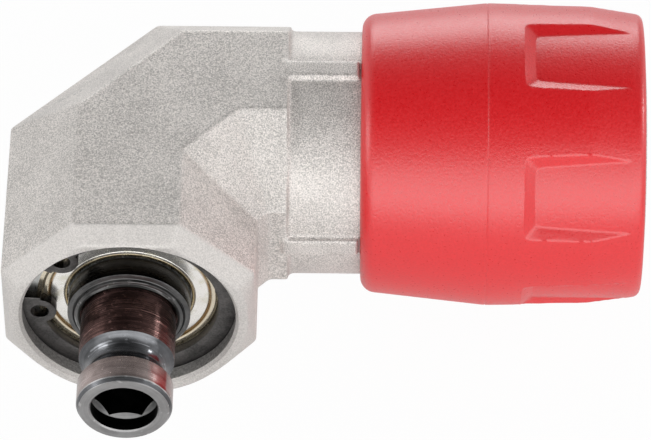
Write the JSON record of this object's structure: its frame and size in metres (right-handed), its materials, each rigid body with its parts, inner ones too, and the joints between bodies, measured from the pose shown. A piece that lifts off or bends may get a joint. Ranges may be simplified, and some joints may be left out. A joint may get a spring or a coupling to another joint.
{
  "type": "angle head",
  "caption": "Right-angle drill attachment: a cast elbow with a bevel gear drive, a grooved spindle with a hex bit socket and a twist-to-lock sleeve.",
  "frame": {"origin": "centre of the mouth of the socket for the drill's neck, at the back of the sleeve", "axes": "+X along the input axis, out of the socket towards the drill; -Y along the spindle, out of its nose; +Z out of the front flat of the head, which is up when the part lies on its back"},
  "size_m": [0.0723, 0.0555, 0.0346],
  "materials": {
    "cast_alloy": "bead blasted die casting",
    "red_plastic": "fine moulded texture",
    "burnished_steel": "turned and burnished",
    "phosphated_steel": "phosphated spring steel",
    "bright_steel": "ground",
    "shield_steel": "pressed and plated",
    "bronze": "sintered",
    "black_rubber": "matt",
    "black_plastic": "moulded"
  },
  "bodies": {
    "housing": {"gear_housing": "cast_alloy", "spindle_retaining_ring": "phosphated_steel", "spindle_bearing_outer_ring": "bright_steel", "spindle_bearing_shield": "shield_steel", "spindle_rear_bush": "bronze", "shaft_front_bearing_outer_ring": "bright_steel", "shaft_rear_bearing_outer_ring": "bright_steel", "shaft_outer_spacer": "bright_steel", "shaft_bore_circlip": "phosphated_steel", "sleeve_retaining_ring": "phosphated_steel", "sleeve_friction_ring": "black_rubber"},
    "spindle": {"output_spindle": "burnished_steel", "spindle_collar": "burnished_steel", "spindle_bearing_inner_ring": "bright_steel", "bevel_gear": "bright_steel", "gear_key": "bright_steel", "gear_retaining_ring": "phosphated_steel", "bit_magnet": "bright_steel", "bit_spring_ring": "bright_steel"},
    "spindle_balls": {"spindle_bearing_balls": "bright_steel", "spindle_bearing_cage": "bronze"},
    "shaft": {"drive_shaft": "bright_steel", "bevel_pinion": "bright_steel", "pinion_pin": "phosphated_steel", "shaft_front_bearing_inner_ring": "bright_steel", "shaft_rear_bearing_inner_ring": "bright_steel", "shaft_inner_spacer": "bright_steel", "shaft_circlip": "phosphated_steel"},
    "front_balls": {"shaft_front_bearing_balls": "bright_steel", "shaft_front_bearing_cage": "bronze"},
    "rear_balls": {"shaft_rear_bearing_balls": "bright_steel", "shaft_rear_bearing_cage": "bronze"},
    "sleeve": {"locking_sleeve": "red_plastic", "cam_ring": "bright_steel", "cam_ring_keys": "phosphated_steel", "sleeve_end_ring": "black_plastic"},
    "pin_1": {"lock_pin_1": "bright_steel"},
    "pin_2": {"lock_pin_2": "bright_steel"},
    "pin_3": {"lock_pin_3": "bright_steel"}
  },
  "joints": [
    {"name": "spindle_spin", "type": "hinge", "parent": "housing", "child": "spindle", "pos_m": [-0.0581, 0, 0], "axis": [0, -1, 0], "continuous": true},
    {"name": "shaft_spin", "type": "hinge", "parent": "housing", "child": "shaft", "pos_m": [0, 0, 0], "axis": [1, 0, 0], "continuous": true},
    {"name": "spindle_ball_roll", "type": "hinge", "parent": "housing", "child": "spindle_balls", "pos_m": [-0.0581, 0, 0], "axis": [0, -1, 0], "continuous": true},
    {"name": "front_ball_roll", "type": "hinge", "parent": "housing", "child": "front_balls", "pos_m": [0, 0, 0], "axis": [1, 0, 0], "continuous": true},
    {"name": "rear_ball_roll", "type": "hinge", "parent": "housing", "child": "rear_balls", "pos_m": [0, 0, 0], "axis": [1, 0, 0], "continuous": true},
    {"name": "sleeve_twist", "type": "hinge", "parent": "housing", "child": "sleeve", "pos_m": [0, 0, 0], "axis": [1, 0, 0], "range_deg": [0, 40]},
    {"name": "lock_pin_1_slide", "type": "slide", "parent": "housing", "child": "pin_1", "axis": [0, 0, -1], "range_m": [0, 0.00121]},
    {"name": "lock_pin_2_slide", "type": "slide", "parent": "housing", "child": "pin_2", "axis": [0, 0.866, 0.5], "range_m": [0, 0.00121]},
    {"name": "lock_pin_3_slide", "type": "slide", "parent": "housing", "child": "pin_3", "axis": [0, -0.866, 0.5], "range_m": [0, 0.00121]}
  ],
  "couplings": [
    {"joint": "shaft_spin", "follows": "spindle_spin", "ratio": -1.2857},
    {"joint": "spindle_ball_roll", "follows": "spindle_spin", "ratio": 0.41111},
    {"joint": "front_ball_roll", "follows": "spindle_spin", "ratio": -0.50952},
    {"joint": "rear_ball_roll", "follows": "spindle_spin", "ratio": -0.50952},
    {"joint": "lock_pin_1_slide", "follows": "sleeve_twist", "m_per_rad": 0.0017189},
    {"joint": "lock_pin_2_slide", "follows": "sleeve_twist", "m_per_rad": 0.0017189},
    {"joint": "lock_pin_3_slide", "follows": "sleeve_twist", "m_per_rad": 0.0017189}
  ]
}
